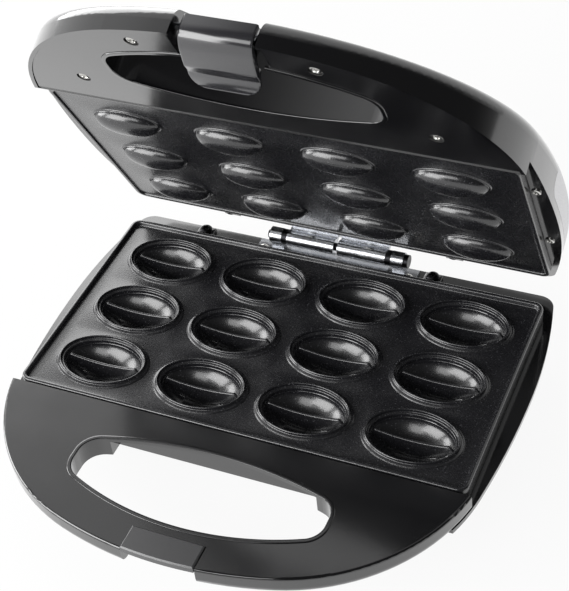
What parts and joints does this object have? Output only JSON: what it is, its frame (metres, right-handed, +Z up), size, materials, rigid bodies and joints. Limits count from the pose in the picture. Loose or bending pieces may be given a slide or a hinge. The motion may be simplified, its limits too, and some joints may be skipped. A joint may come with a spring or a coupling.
{
  "type": "electric nut cookie maker",
  "caption": "Hinged electric iron with oval nut-shell moulds below, matching domes above, slotted handles and a hanging latch.",
  "frame": {"origin": "centre of the footprint on the table, under the four feet", "axes": "+X to the right seen from the front handle, +Y to the hinge at the back, +Z up"},
  "size_m": [0.2374, 0.2344, 0.2313],
  "materials": {
    "black_shell": "gloss black moulded plastic",
    "black_cover": "satin-gloss black moulded plastic",
    "nonstick": "cast aluminium with speckled black non-stick coating",
    "latch_plastic": "dark grey glossy plastic",
    "catch_plastic": "dark grey satin plastic",
    "brushed_panel": "brushed stainless sheet",
    "zinc_steel": "bright zinc-plated steel",
    "black_screw": "black oxide steel screws",
    "bright_screw": "bright plated steel screws",
    "heater_sheath": "oxidised steel heater sheath",
    "reflector_sheet": "bright aluminised sheet",
    "ceramic": "white ceramic",
    "thermostat_body": "brown phenolic",
    "rubber_black": "matt black rubber",
    "red_lens": "red translucent lens",
    "green_lens": "green translucent lens"
  },
  "bodies": {
    "base": {"base_housing": "black_shell", "base_handle_cover": "black_cover", "latch_catch": "catch_plastic", "base_plate": "nonstick", "base_heater": "heater_sheath", "base_reflector": "reflector_sheet", "thermostat": "thermostat_body", "thermal_fuse": "ceramic", "terminal_block": "ceramic", "cord_gland": "rubber_black", "foot_front_left": "rubber_black", "foot_front_right": "rubber_black", "foot_rear_left": "rubber_black", "foot_rear_right": "rubber_black", "base_cover_screws": "bright_screw", "base_plate_screws": "black_screw", "hinge_base_bracket": "zinc_steel", "hinge_base_screws": "bright_screw", "hinge_pin": "black_screw", "hinge_spacer_left": "black_screw", "hinge_spacer_right": "black_screw"},
    "lid": {"lid_housing": "black_shell", "lid_top_panel": "brushed_panel", "lid_handle_cover": "black_cover", "lid_plate": "nonstick", "lid_heater": "heater_sheath", "lid_reflector": "reflector_sheet", "lid_cover_screws": "bright_screw", "lid_plate_screws": "black_screw", "lid_flange_screws": "bright_screw", "hinge_lid_bracket": "zinc_steel", "hinge_lid_screws": "bright_screw", "latch_pin": "zinc_steel", "power_lamp_lens": "red_lens", "ready_lamp_lens": "green_lens"},
    "latch": {"latch": "latch_plastic"}
  },
  "joints": [
    {"name": "lid_hinge", "type": "hinge", "parent": "base", "child": "lid", "pos_m": [0, 0.0896, 0.04166], "axis": [-1, 0, 0], "range_deg": [-61.7, 40]},
    {"name": "latch_swing", "type": "hinge", "parent": "lid", "child": "latch", "pos_m": [0, 0.00239, 0.22333], "axis": [1, 0, 0], "range_deg": [-71, 46]}
  ],
  "couplings": [
    {"joint": "latch_swing", "follows": "lid_hinge", "ratio": 1.1459}
  ]
}
